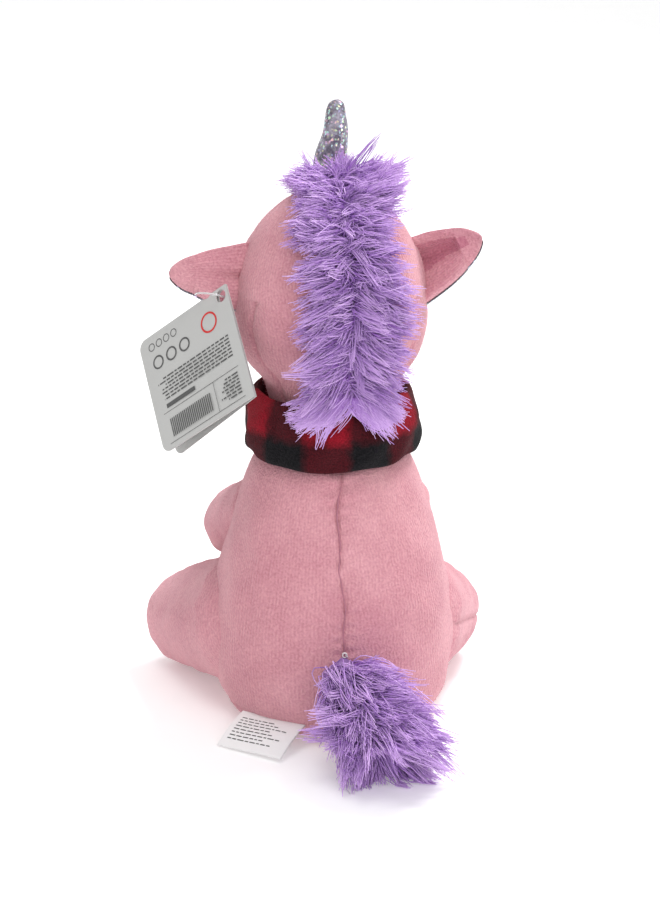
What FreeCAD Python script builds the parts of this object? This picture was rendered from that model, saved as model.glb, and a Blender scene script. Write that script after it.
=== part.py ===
import FreeCAD, Part
import math
import os

# Seated plush unicorn, in millimetres. It sits on the plane Z = 0 and faces -Y; its own left is +X.

V = FreeCAD.Vector
UP = V(0, 0, 1)

# Overall
SKIN = 1.3                      # plush fabric thickness
GAP = 0.4                       # free space round every ball that turns in a socket
HORN_TIP = V(-5, -30, 246)       # highest point of the toy

# Torso: radius at each height, from the flat seat to the neck
TORSO_PROFILE = [(34, 0), (39.5, 2.5), (44, 8), (46.6, 20), (47.5, 36), (46, 50), (41, 75), (34, 98), (28, 110),
                 (24, 112)]
TORSO_TOP = 112
SEAM_Z = 7                      # height of the seam round the seat panel
SIDE_SEAM_Y = -8                # the side seams lie on this plane
PELLET_BAG = (V(0, 25, 9), 10.5, 20, 5)     # base centre, radius, height, edge radius

# Head
NOD_PIVOT = V(0, 0, 138)
NECK_BALL = 24
HEAD_CENTRE = V(0, -4, 172)
HEAD_RADIUS = 37
HEAD_HALF_HEIGHT = 42
MUZZLE_CENTRE = V(0, -43, 161.5)
MUZZLE_RADIUS = 20
NOSTRIL = (V(6.5, -61.2, 164), 1.8)
LIP_DROP = 6
EYE_RADIUS = 5.5
EYE_OFFSET = (17, 180)          # sideways, height
STEM_RADIUS = 1.6
WASHER_RADIUS = 5.0

# Neck and scarf
NECK_BOTTOM, NECK_TOP = 112.4, 124
SCARF_SECTION = [(24, 113), (33, 111.5), (34.2, 118), (34.2, 130), (34, 137), (31.2, 137), (29.5, 129), (24, 124)]
KNOT = (V(0, -41, 121), 10)
END_WIDTH, END_LENGTH, END_THICK = 14, 46, 3
END_HINGE = V(7.6, -41, 110.3)
END_TILT = 10
FRINGE_LENGTH, FRINGE_CUTS = 8, 4

# Horn
HORN_PIVOT = V(0, -24, 203)
HORN_BALL = 9.6
HORN_TIP_RADIUS = 2.2

# Ears: the root seam runs from low to high, the outline from low round the tip to high
EAR_ROOT = (V(36.8, -1.5, 168), V(30.8, -1.5, 196))
EAR_BEAD = 4.0
EAR_OUTLINE = {
    "left": [(46, 169.5), (56, 175.5), (62.5, 183), (62, 190.5), (54, 195), (42, 197)],
    "right": [(45, 174), (52.5, 184), (57, 194), (54.5, 200), (47, 201.5), (38, 199.5)],
}
EAR_BACK_Y = (-2, 0.8)
EAR_LINING_Y = (-3.6, -2)

# Legs: pivot, paw centre, radius at the pivot, radius at the paw, sole distance beyond the paw centre
LEGS = {
    "foreleg_left": (V(27, -14, 80), V(34, -54, 61), 14.0, 14.6, 9.5),
    "foreleg_right": (V(-27, -14, 80), V(-31, -53, 60), 14.0, 14.6, 9.5),
    "hind_leg_left": (V(32, -8, 35), V(54, -47, 20.6), 27, 20, 13),
    "hind_leg_right": (V(-30, -8, 34), V(-47, -47, 20.6), 25, 20, 13),
}
LEG_SWING = {
    "foreleg_left": (V(-1, 0, 0), -2, 35),
    "foreleg_right": (V(-1, 0, 0), -2, 35),
    "hind_leg_left": (V(0, 0, 1), -6, 15),
    "hind_leg_right": (V(0, 0, -1), -6, 15),
}

# Tail
TAIL_PIVOT = V(0, 47.4, 34)
TAIL_END = V(-6, 106, 17)
TAIL_BALL = 5.5
TAIL_SECTION = [(4.0, 6.5), (8, 14), (13, 26), (14.5, 40), (12.5, 52), (8, 59)]
TAIL_FLATTEN = 1.55

# Mane: the outer line of the pile from the forehead over the crown to the nape
MANE_OUTER = [(-12, 224), (0, 228), (18, 223), (34, 207), (43, 184), (46.5, 158), (46, 130)]
MANE_INNER = [(38.2, 130), (37.5, 140), (30, 152)]
MANE_HALF_WIDTH = 22
TAPE_HALF_WIDTH = 6
TAPE_THICK = 1.2

# Hang tag: a folded card square, its corner at the hole and the two edge directions
TAG_CORNER = V(42.1, 8.7, 181.3)
TAG_FOLD = V(-9.5, 35, -36.6)
TAG_TOP = V(32.9, -20, -30.4)
TAG_SIDE = 50
TAG_THICK = 0.4
TAG_CORNER_RADIUS = 4
TAG_HOLE = (3.5, 2.5)           # distance from both edges, radius
TAG_OPEN = 7                    # degrees between the leaves
LOOP_RADIUS, LOOP_WIRE = 6.0, 0.45
LOOP_SIDE = V(0.69, -0.69, -0.17)

# Care label in the seat seam
LABEL_WIDTH, LABEL_LENGTH, LABEL_THICK = 30, 18, 0.6
LABEL_AZIMUTH, LABEL_RADIUS, LABEL_Z, LABEL_DROP = 53, 45.0, 8.5, 22


def spline(points):
    curve = Part.BSplineCurve()
    curve.interpolate(points)
    return curve


def polyline(points):
    return [Part.makeLine(a, b) for a, b in zip(points, points[1:])]


def lathe(edges, base=V(0, 0, 0)):
    """Solid turned about the vertical through base from edges that close on that axis."""
    wire = Part.Wire(Part.__sortEdges__(edges))
    return Part.Face(wire).revolve(base, UP, 360)


def spheroid(centre, radius, half_height):
    """Ball stretched or flattened along Z."""
    if half_height >= radius:
        ellipse = Part.Ellipse(centre + V(0, 0, half_height), centre + V(radius, 0, 0), centre)
        start, end = 0, math.pi
    else:
        ellipse = Part.Ellipse(centre - V(radius, 0, 0), centre + V(0, 0, half_height), centre)
        start, end = math.pi / 2, 3 * math.pi / 2
    arc = Part.ArcOfEllipse(ellipse, start, end).toBSpline().toShape()
    axis = Part.makeLine(centre - V(0, 0, half_height), centre + V(0, 0, half_height))
    return lathe([arc, axis], centre)


def block(x, y, z):
    """Box between pairs of coordinates."""
    return Part.makeBox(x[1] - x[0], y[1] - y[0], z[1] - z[0], V(x[0], y[0], z[0]))


def placed(shape, base, direction):
    """Move a shape built along +Z so that it starts at base and points along direction."""
    moved = shape.copy()
    moved.Placement = FreeCAD.Placement(base, FreeCAD.Rotation(UP, direction))
    return moved


def turned(shape, centre, axis, angle):
    moved = shape.copy()
    moved.rotate(centre, axis, angle)
    return moved


def angles(low, high, step=5):
    count = max(1, math.ceil((high - low) / step))
    return [low + (high - low) * i / count for i in range(count + 1)]


def swept(shape, centre, axis, low, high):
    """Copies of a shape through its swing, to be cut from what it turns in."""
    return [turned(shape, centre, axis, angle) for angle in angles(low, high)]


def minus(shape, cutters):
    """Cut one tool after another, which holds up better than one cut with all of them."""
    for cutter in cutters:
        shape = shape.cut(cutter)
    return shape


def export(name, shape):
    """Write one node, without the crumbs a cut may leave."""
    solids = [s for s in shape.Solids if s.Volume > 12.0 or len(shape.Solids) == 1]
    shape = solids[0] if len(solids) == 1 else Part.makeCompound(solids)
    if not shape.isValid():
        print("invalid:", name)
    shape.exportStep("parts/" + name + ".step")


# Torso

def torso_solid(inset):
    curve = spline([V(r, 0, z) for r, z in TORSO_PROFILE])
    first, last = curve.FirstParameter, curve.LastParameter
    points = []
    for i in range(41):
        t = first + (last - first) * i / 40
        tangent = curve.tangent(t)[0]
        points.append(curve.value(t) + V(-tangent.z, 0, tangent.x) * inset)
    side = spline(points).toShape() if inset else curve.toShape()
    start, end = points[0], points[-1]
    closing = polyline([end, V(0, 0, end.z), V(0, 0, start.z), start])
    solid = lathe([side] + closing)
    return solid.common(block((-60, 60), (-60, 60), (inset, TORSO_TOP - inset))) if inset else solid


def leg_root(name, extra):
    """Ball and shank of a leg, grown by extra: the room it needs in the torso."""
    pivot, paw, r_pivot, r_paw, _ = LEGS[name]
    shank = Part.makeCone(r_pivot + extra, r_paw + extra, (paw - pivot).Length, pivot, paw - pivot)
    return [Part.makeSphere(r_pivot + extra, pivot), shank]


def torso_cutters():
    """Sockets of the four legs and of the tail."""
    cutters = [Part.makeSphere(TAIL_BALL + GAP, TAIL_PIVOT)]
    for name, (axis, low, high) in LEG_SWING.items():
        ball, shank = leg_root(name, GAP)
        cutters += [ball] + swept(shank, LEGS[name][0], axis, low, high)
    return cutters


def make_torso():
    outer, inner = torso_solid(0), torso_solid(SKIN)
    cutters = torso_cutters()
    skin = minus(outer.cut(inner), cutters)
    far = 80
    upper = (SEAM_Z, TORSO_TOP + 1)
    export("seat_panel", skin.common(block((-far, far), (-far, far), (-1, SEAM_Z))))
    export("belly_panel", skin.common(block((-far, far), (-far, SIDE_SEAM_Y), upper)))
    export("back_panel_left", skin.common(block((0, far), (SIDE_SEAM_Y, far), upper)))
    export("back_panel_right", skin.common(block((-far, 0), (SIDE_SEAM_Y, far), upper)))
    base, radius, height, edge = PELLET_BAG
    bag = Part.makeCylinder(radius, height, base)
    bag = bag.makeFillet(edge, [e for e in bag.Edges if isinstance(e.Curve, Part.Circle)])
    export("pellet_bag", bag)
    export("torso_stuffing", minus(inner, cutters + [bag]))
    export("back_seam_thread", seam_thread(outer))


def seam_thread(torso):
    """Thread that stands proud of the centre back seam."""
    line = spline([V(0, r, z) for r, z in TORSO_PROFILE if 40 < z < 105]).toShape()
    start = line.valueAt(line.FirstParameter)
    circle = Part.makeCircle(0.8, start, line.tangentAt(line.FirstParameter))
    tube = Part.Wire(line).makePipeShell([Part.Wire(circle)], True, False)
    return tube.cut(torso)


# Legs

def leg_solid(name, inset):
    """Leg built along +Z from its pivot: a ball, a tapered shank and a rounded end with a flat sole."""
    pivot, paw, r_pivot, r_paw, sole = LEGS[name]
    length = (paw - pivot).Length
    a, b, end = r_pivot - inset, r_paw - inset, sole - inset
    edge = math.asin(end / b)
    half = math.sqrt(0.5)
    root = Part.Arc(V(0, 0, -a), V(a * half, 0, -a * half), V(a, 0, 0)).toShape()
    middle = V(b * math.cos(edge / 2), 0, length + b * math.sin(edge / 2))
    rim = V(b * math.cos(edge), 0, length + end)
    toe = Part.Arc(V(b, 0, length), middle, rim).toShape()
    closing = polyline([rim, V(0, 0, length + end), V(0, 0, -a)])
    return lathe([root, Part.makeLine(V(a, 0, 0), V(b, 0, length)), toe] + closing)


def make_leg(name):
    pivot, paw, _, r_paw, sole = LEGS[name]
    length = (paw - pivot).Length
    outer, inner = leg_solid(name, 0), leg_solid(name, SKIN)
    end = block((-r_paw, r_paw), (-r_paw, r_paw), (length + sole - SKIN, length + sole + 1))
    pieces = {"_cover": outer.cut(inner).cut(end), "_sole": outer.common(end), "_stuffing": inner}
    for suffix, shape in pieces.items():
        export(name + suffix, placed(shape, pivot, paw - pivot))


# Head

def head_solid(inset):
    skull = spheroid(HEAD_CENTRE, HEAD_RADIUS - inset, HEAD_HALF_HEIGHT - inset)
    muzzle = Part.makeSphere(MUZZLE_RADIUS - inset, MUZZLE_CENTRE)
    ball = Part.makeSphere(NECK_BALL - inset, NOD_PIVOT)
    return skull.fuse([muzzle, ball])


def horn_solid(inset):
    """Horn built along +Z from its pivot: a ball that runs out into a cone with a rounded tip."""
    height = (HORN_TIP - HORN_PIVOT).Length - inset
    a, b = HORN_BALL - inset, HORN_TIP_RADIUS - inset / 2
    half = math.sqrt(0.5)
    root = Part.Arc(V(0, 0, -a), V(a * half, 0, -a * half), V(a, 0, 0)).toShape()
    tip = Part.Arc(V(b, 0, height - b), V(b * half, 0, height - b + b * half), V(0, 0, height)).toShape()
    side = Part.makeLine(V(a, 0, 0), V(b, 0, height - b))
    return lathe([root, side, tip, Part.makeLine(V(0, 0, height), V(0, 0, -a))])


def horn_room():
    """Socket of the horn's ball and the free space in which its shank flexes."""
    shaft = Part.makeCylinder(HORN_BALL + GAP + 0.2, 30, HORN_PIVOT, HORN_TIP - HORN_PIVOT)
    return [Part.makeSphere(HORN_BALL + GAP, HORN_PIVOT), shaft]


def on_side(point, side):
    return V(point.x * side, point.y, point.z)


def eye_frame(side):
    """Point on the face where an eye sits, and the outward direction there."""
    x, z = EYE_OFFSET
    height = (z - HEAD_CENTRE.z) / HEAD_HALF_HEIGHT
    y = HEAD_CENTRE.y - HEAD_RADIUS * math.sqrt(1 - height ** 2 - (x / HEAD_RADIUS) ** 2)
    normal = V(x / HEAD_RADIUS ** 2, (y - HEAD_CENTRE.y) / HEAD_RADIUS ** 2, height / HEAD_HALF_HEIGHT)
    return on_side(V(x, y, z), side), on_side(normal.normalize(), side)


def eye_stem(side):
    seat, normal = eye_frame(side)
    return Part.makeCylinder(STEM_RADIUS, 10, seat - normal * 9, normal)


def eye_washer(side):
    seat, normal = eye_frame(side)
    disc = Part.makeCylinder(WASHER_RADIUS, 1.2, seat - normal * 4.2, normal)
    return disc.cut(eye_stem(side))


def ear_groove(side):
    low, high = on_side(EAR_ROOT[0], side), on_side(EAR_ROOT[1], side)
    along = (high - low).normalize()
    return Part.makeCylinder(EAR_BEAD + GAP, (high - low).Length + 2, low - along, along)


def make_head():
    outer, inner = head_solid(0), head_solid(SKIN)
    sides = (1, -1)
    room = horn_room() + [ear_groove(side) for side in sides]
    stems = [eye_stem(side) for side in sides]
    washers = [eye_washer(side) for side in sides]
    skin = minus(outer.cut(inner), room + stems)
    muzzle_zone = Part.makeSphere(MUZZLE_RADIUS + 0.6, MUZZLE_CENTRE)
    crown = skin.cut(muzzle_zone)
    far = 90
    export("head_panel_left", crown.common(block((0, far), (-far, far), (100, 260))))
    export("head_panel_right", crown.common(block((-far, 0), (-far, far), (100, 260))))
    export("muzzle_cover", skin.common(muzzle_zone))
    export("head_stuffing", minus(inner, room + stems + washers))
    for side, name, stem, washer in zip(sides, ("left", "right"), stems, washers):
        seat, normal = eye_frame(side)
        dome = Part.makeSphere(EYE_RADIUS, seat - normal * 2).cut(outer)
        export("eye_" + name, dome.fuse(stem))
        export("eye_washer_" + name, washer)
        nostril = Part.makeSphere(NOSTRIL[1], on_side(NOSTRIL[0], side))
        export("nostril_" + name, nostril.cut(outer))
    lip_radius = math.sqrt(MUZZLE_RADIUS ** 2 - LIP_DROP ** 2)
    lip = Part.makeTorus(lip_radius, 0.9, MUZZLE_CENTRE - V(0, 0, LIP_DROP), UP)
    export("mouth_stitch", lip.common(block((-9, 9), (-70, -45), (150, 160))).cut(outer))
    make_mane(outer, room)


def make_mane(head, room):
    far = 90
    tape = spheroid(HEAD_CENTRE, HEAD_RADIUS + TAPE_THICK, HEAD_HALF_HEIGHT + TAPE_THICK).cut(head)
    tape = tape.common(block((-TAPE_HALF_WIDTH, TAPE_HALF_WIDTH), (-10, far), (156, 230)))
    outer = spline([V(-MANE_HALF_WIDTH, y, z) for y, z in MANE_OUTER]).toShape()
    first, last = MANE_OUTER[0], MANE_OUTER[-1]
    inside = [last] + MANE_INNER + [(0, 190), (first[0], 205), first]
    closing = polyline([V(-MANE_HALF_WIDTH, y, z) for y, z in inside])
    face = Part.Face(Part.Wire([outer] + closing))
    pile = face.extrude(V(2 * MANE_HALF_WIDTH, 0, 0))
    export("mane_tape", minus(tape, room))
    export("mane_pile", minus(pile, [head, tape] + room))


def make_neck():
    core = Part.makeCylinder(24, NECK_TOP - NECK_BOTTOM, V(0, 0, NECK_BOTTOM))
    export("neck_stuffing", core.cut(Part.makeSphere(NECK_BALL + GAP, NOD_PIVOT)))


def make_scarf():
    section = [V(r, 0, z) for r, z in SCARF_SECTION]
    inner_gap = [V(24 + GAP, 0, z) for z in (113, 124)]
    section[0], section[-1] = inner_gap
    band = lathe(polyline(section + [section[0]]))
    knot = Part.makeSphere(KNOT[1], KNOT[0]).cut(band)
    export("scarf_band", band)
    export("scarf_knot", min(knot.Solids, key=lambda s: s.CenterOfMass.y))
    for side, name in ((1, "left"), (-1, "right")):
        export("scarf_end_" + name, scarf_end(side))


def scarf_end(side):
    """Free end of the scarf that hangs from the knot, with a cut fringe."""
    hinge = on_side(END_HINGE, side)
    half_width, half_thick = END_WIDTH / 2, END_THICK / 2
    sheet = block((-half_width, half_width), (-half_thick, half_thick), (-END_LENGTH, 0))
    pitch = END_WIDTH / (FRINGE_CUTS + 1)
    for i in range(FRINGE_CUTS):
        x = -half_width + pitch * (i + 1)
        slot = block((x - 0.4, x + 0.4), (-END_THICK, END_THICK), (-END_LENGTH - 1, -END_LENGTH + FRINGE_LENGTH))
        sheet = sheet.cut(slot)
    sheet.rotate(V(0, 0, 0), V(1, 0, 0), -END_TILT)
    sheet.translate(hinge)
    return sheet


# Horn, ears, tail

def make_horn():
    outer, inner = horn_solid(0), horn_solid(1.1)
    pieces = {"horn_cover": outer.cut(inner), "horn_stuffing": inner}
    for name, shape in pieces.items():
        export(name, placed(shape, HORN_PIVOT, HORN_TIP - HORN_PIVOT))


def ear_leaf(side, name, y_range, scale):
    """Flat leaf between two planes; scale shrinks the outline towards the middle of the root."""
    low, high = EAR_ROOT
    centre = (low + high) * 0.5
    outline = [(low.x, low.z)] + EAR_OUTLINE[name] + [(high.x, high.z)]
    points = []
    for x, z in outline:
        points.append(V(side * (centre.x + (x - centre.x) * scale), y_range[0], centre.z + (z - centre.z) * scale))
    edge = spline(points).toShape()
    face = Part.Face(Part.Wire([edge, Part.makeLine(points[-1], points[0])]))
    return face.extrude(V(0, y_range[1] - y_range[0], 0))


def make_ear(side, name, loop):
    low, high = on_side(EAR_ROOT[0], side), on_side(EAR_ROOT[1], side)
    bead = Part.makeCylinder(EAR_BEAD, (high - low).Length, low, high - low)
    back = ear_leaf(side, name, EAR_BACK_Y, 1.0).fuse(bead)
    lining = ear_leaf(side, name, EAR_LINING_Y, 0.86).cut(bead)
    if side > 0:
        back, lining = back.cut(loop), lining.cut(loop)
    export("ear_" + name + "_back", back)
    export("ear_" + name + "_lining", max(lining.Solids, key=lambda s: s.Volume))


def make_tail():
    sections = [V(r, 0, z) for r, z in TAIL_SECTION]
    axis = [V(0, 0, sections[-1].z + 3), V(0, 0, sections[0].z), sections[0]]
    cap = [Part.makeLine(sections[-1], axis[0])]
    tuft = lathe([spline(sections).toShape()] + cap + polyline(axis))
    stretch = FreeCAD.Matrix()
    stretch.scale(TAIL_FLATTEN, 1, 1)
    tuft = tuft.transformGeometry(stretch)
    direction = TAIL_END - TAIL_PIVOT
    root = Part.makeSphere(TAIL_BALL, TAIL_PIVOT)
    neck = Part.makeCylinder(3.4, 7, TAIL_PIVOT, direction)
    tape = root.fuse(neck)
    export("tail_tape", tape)
    export("tail_pile", placed(tuft, TAIL_PIVOT, direction).cut(tape))


# Tag and label

def tag_axes():
    """Unit vectors along the fold, away from the fold, and out of the printed face."""
    fold = V(TAG_FOLD).normalize()
    out = V(TAG_TOP)
    out = (out - fold * out.dot(fold)).normalize()
    return fold, out, out.cross(fold).normalize()


def tag_hole():
    fold, out, _ = tag_axes()
    return TAG_CORNER + (fold + out) * TAG_HOLE[0]


def tag_leaf(offset, turn):
    """One leaf of the card, lifted off the fold plane by offset and turned about the fold."""
    fold, out, normal = tag_axes()
    leaf = Part.makeBox(TAG_SIDE, TAG_SIDE, TAG_THICK)
    corners = [e for e in leaf.Edges if abs(e.BoundBox.ZLength - TAG_THICK) < 1e-6 and e.BoundBox.XMin > 1]
    leaf = leaf.makeFillet(TAG_CORNER_RADIUS, corners)
    inset, radius = TAG_HOLE
    leaf = leaf.cut(Part.makeCylinder(radius, 4, V(inset, inset, -2)))
    frame = FreeCAD.Matrix(out.x, fold.x, normal.x, TAG_CORNER.x, out.y, fold.y, normal.y, TAG_CORNER.y,
                           out.z, fold.z, normal.z, TAG_CORNER.z, 0, 0, 0, 1)
    leaf.translate(V(0, 0, offset))
    leaf.Placement = FreeCAD.Placement(frame).multiply(leaf.Placement)
    leaf.rotate(TAG_CORNER, fold, turn)
    return leaf


def tag_loop():
    """Ring of clear nylon through the ear edge and both leaves."""
    normal = tag_axes()[2]
    side = V(LOOP_SIDE)
    side = (side - normal * side.dot(normal)).normalize()
    return Part.makeTorus(LOOP_RADIUS, LOOP_WIRE, tag_hole() + side * LOOP_RADIUS, normal.cross(side))


def make_label():
    """Folded satin tape sewn into the seat seam, drooping to the ground."""
    azimuth = math.radians(LABEL_AZIMUTH)
    tape = block((0, LABEL_LENGTH), (-LABEL_WIDTH / 2, LABEL_WIDTH / 2), (-LABEL_THICK / 2, LABEL_THICK / 2))
    tape.rotate(V(0, 0, 0), V(0, 1, 0), LABEL_DROP)
    tape.rotate(V(0, 0, 0), UP, LABEL_AZIMUTH)
    tape.translate(V(LABEL_RADIUS * math.cos(azimuth), LABEL_RADIUS * math.sin(azimuth), LABEL_Z))
    export("care_label", tape)


def main():
    os.makedirs("parts", exist_ok=True)
    make_torso()
    for name in LEGS:
        make_leg(name)
    make_neck()
    make_scarf()
    make_head()
    make_horn()
    loop = tag_loop()
    export("tag_loop", loop)
    make_ear(1, "left", loop)
    make_ear(-1, "right", loop)
    make_tail()
    export("tag_front_leaf", tag_leaf(0.15, 0))
    export("tag_back_leaf", tag_leaf(-0.15 - TAG_THICK, TAG_OPEN))
    make_label()


main()
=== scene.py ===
import math

import bpy
import numpy as np
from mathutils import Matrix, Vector


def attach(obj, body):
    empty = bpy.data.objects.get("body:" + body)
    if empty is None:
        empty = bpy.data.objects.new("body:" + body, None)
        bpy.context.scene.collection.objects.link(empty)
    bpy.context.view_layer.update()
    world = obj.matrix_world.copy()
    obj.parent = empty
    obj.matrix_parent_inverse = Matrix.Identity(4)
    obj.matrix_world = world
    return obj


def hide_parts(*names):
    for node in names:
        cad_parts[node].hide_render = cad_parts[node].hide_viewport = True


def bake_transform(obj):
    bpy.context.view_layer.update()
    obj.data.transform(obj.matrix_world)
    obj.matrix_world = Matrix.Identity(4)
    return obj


# Looks of the seated plush unicorn. Shapes are in millimetres; +X is the toy's left, -Y its front.

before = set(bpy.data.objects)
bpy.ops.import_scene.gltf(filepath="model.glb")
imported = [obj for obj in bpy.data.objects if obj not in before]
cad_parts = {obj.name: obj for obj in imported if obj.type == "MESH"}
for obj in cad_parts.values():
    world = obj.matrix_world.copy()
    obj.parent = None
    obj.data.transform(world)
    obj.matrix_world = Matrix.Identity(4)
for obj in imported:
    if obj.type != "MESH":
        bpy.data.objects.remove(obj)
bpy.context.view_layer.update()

MM = 0.001
TORSO_PROFILE = [(2, 0.6), (18, 0.4), (31, 0.3), (37, 1.4), (42, 4.6), (45.4, 12), (47.4, 24), (48, 36),
                 (46.6, 52), (43.6, 66), (39.8, 80), (35.4, 95), (31, 106), (26, 111.5), (18, 112.2)]
HEAD = (0, -4, 172)
SKULL = (37.4, 42.4)
MUZZLE = ((0, -43, 161.5), 20.4)
NECK = ((0, 0, 138), 24.3)
HORN = ((0, -24, 203), (-5, -30, 246))
LEGS = {
    "foreleg_left": ((27, -14, 80), (34, -54, 61), 14.4, 15.0, 9.5),
    "foreleg_right": ((-27, -14, 80), (-31, -53, 60), 14.4, 15.0, 9.5),
    "hind_leg_left": ((32, -8, 35), (54, -47, 20.6), 27.6, 20.4, 13),
    "hind_leg_right": ((-30, -8, 34), (-47, -47, 20.6), 25.6, 20.4, 13),
}
HEAD_HEART = (0, -7, 166)        # the head's surface is measured from here
SEAM_SPAN = (40, 106)            # heights between which the back seam is stitched
NAP_PER_MM2 = 0.55               # short pile blades on the plush
STRAND_RADIUS = 0.24             # fibre of the mane
PER_LOCK = 13                    # fibres in a lock of the mane
TAIL_PER_LOCK = 15
MANE_SPLIT = 62                  # degrees from the crown where the lower mane pieces begin
SCARF_END = (46.0, 14.0, 5)      # length, width, fingers of the fringe
SCARF_HINGE = (7.6, -41, 110.3)
TAG_CORNER = (42.1, 8.7, 181.3)
TAG_FOLD = (-9.5, 35, -36.6)
TAG_TOP = (32.9, -20, -30.4)
TAG_SIDE = 50
TAG_OPEN = 7
TAG_THICK = 0.4
TAG_HOLE = (3.5, 2.5)            # distance from both edges, radius
TAG_CORNER_RADIUS = 4
LOOP_RADIUS = 6
LABEL_WIDTH, LABEL_LENGTH = 30.0, 19.0
LABEL_AZIMUTH, LABEL_DROOP = 53, 23

PINK = (0.78, 0.40, 0.445)
PINK_DARK = (0.51, 0.195, 0.245)
# root colour darkened as painted shade of the fibres over it
PURPLE_ROOT_SHADE = (0.34, 0.13, 0.56)
PURPLE_TIP = (0.84, 0.57, 1.0)


# Numbers and meshes

def vec(*values):
    return np.array(values, float)


def unit(v):
    v = np.asarray(v, float)
    return v / np.linalg.norm(v, axis=-1, keepdims=True)


def turn(count):
    """Angles of equal steps round a circle."""
    return np.linspace(0, 2 * math.pi, count, endpoint=False)


def circle(side, up, angles):
    return np.cos(angles)[:, None] * side + np.sin(angles)[:, None] * up


def ball(rows, cols, margin):
    """Directions in rows from straight down to straight up, margin radians short of both."""
    polar = np.linspace(math.pi - margin, margin, rows)[:, None]
    theta = turn(cols)[None, :]
    return np.stack([np.sin(polar) * np.cos(theta), np.sin(polar) * np.sin(theta),
                     np.cos(polar) + 0 * theta], -1)


def lumps(points, wavelength, seed, count=7):
    """Smooth random field, about -1 to 1, with features of one wavelength."""
    rng = np.random.default_rng(seed)
    waves = unit(rng.normal(size=(count, 3))) * (2 * math.pi / wavelength) * rng.uniform(0.7, 1.4, (count, 1))
    return np.sin(points @ waves.T + rng.uniform(0, 6.3, count)).sum(-1) / math.sqrt(count)


def curve(points, count):
    """Smooth line through points."""
    p = np.array(points, float)
    p = np.vstack([2 * p[0] - p[1], p, 2 * p[-1] - p[-2]])
    t = np.linspace(0, len(points) - 1 - 1e-9, count)
    i = t.astype(int)
    f = (t - i)[:, None]
    a, b, c, d = p[i], p[i + 1], p[i + 2], p[i + 3]
    square, cube = 2 * a - 5 * b + 4 * c - d, 3 * b - a - 3 * c + d
    return 0.5 * (2 * b + (c - a) * f + square * f ** 2 + cube * f ** 3)


def ridge(distance, width):
    return np.exp(-(distance / width) ** 2)


def build(name, points, faces, material):
    mesh = bpy.data.meshes.new(name)
    mesh.from_pydata((np.asarray(points) * MM).tolist(), [], faces)
    mesh.polygons.foreach_set("use_smooth", [True] * len(mesh.polygons))
    obj = bpy.data.objects.new(name, mesh)
    bpy.context.scene.collection.objects.link(obj)
    obj.data.materials.append(material)
    return obj


def set_uv(obj, uv):
    """Cloth coordinates in metres, one pair for each face corner."""
    layer = obj.data.uv_layers.new(name="Cloth")
    layer.data.foreach_set("uv", np.asarray(uv, np.float32).ravel())


def grid(name, points, material, wrap=True, caps=True, uv=None):
    """Surface through rows of points; wrap closes each row, caps close the first and last row."""
    rows, cols = points.shape[:2]
    i = np.arange(rows - 1)[:, None]
    j = np.arange(cols if wrap else cols - 1)[None, :]
    k = (j + 1) % cols
    faces = np.stack([i * cols + j, i * cols + k, (i + 1) * cols + k, (i + 1) * cols + j], -1).reshape(-1, 4)
    ends = []
    if caps:
        ends = [list(range(cols - 1, -1, -1)), list(range((rows - 1) * cols, rows * cols))]
    obj = build(name, points.reshape(-1, 3), faces.tolist() + ends, material)
    if uv is not None:
        corners = np.stack([uv[i, j], uv[i, j + 1], uv[i + 1, j + 1], uv[i + 1, j]], -2).reshape(-1, 2)
        corners = np.vstack([corners * MM] + [np.zeros((len(e), 2)) for e in ends])
        set_uv(obj, corners)
    return obj


def round_uv(points):
    """Cloth coordinates of a closed tube: distance round it, and distance along it."""
    closed = np.concatenate([points, points[:, :1]], 1)
    around = np.linalg.norm(np.diff(closed, axis=1), axis=-1)
    widest = np.median(around.sum(1)[around.sum(1) > 0.5 * around.sum(1).max()])
    u = np.concatenate([np.zeros((len(points), 1)), np.cumsum(around, 1)], 1)
    u = u / np.maximum(u[:, -1:], 1e-6) * widest
    along = np.linalg.norm(np.diff(points.mean(1), axis=0), axis=-1)
    step = np.linalg.norm(np.diff(points, axis=0), axis=-1).mean(1)
    v = np.concatenate([[0], np.cumsum(np.maximum(along, step))])[:, None] * np.ones((1, closed.shape[1]))
    return np.stack([u, v], -1)


def tube(name, path, radius, material, sides=8):
    """Round thread or cord along a line of points."""
    path = np.asarray(path, float)
    tangent = unit(np.gradient(path, axis=0))
    side = unit(np.cross(tangent, vec(0.31, 0.52, 0.79)))
    other = np.cross(tangent, side)
    angle = turn(sides)
    r = np.broadcast_to(np.asarray(radius, float), (len(path),))[:, None, None]
    ring = np.cos(angle)[None, :, None] * side[:, None] + np.sin(angle)[None, :, None] * other[:, None]
    return grid(name, path[:, None] + r * ring, material)


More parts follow.
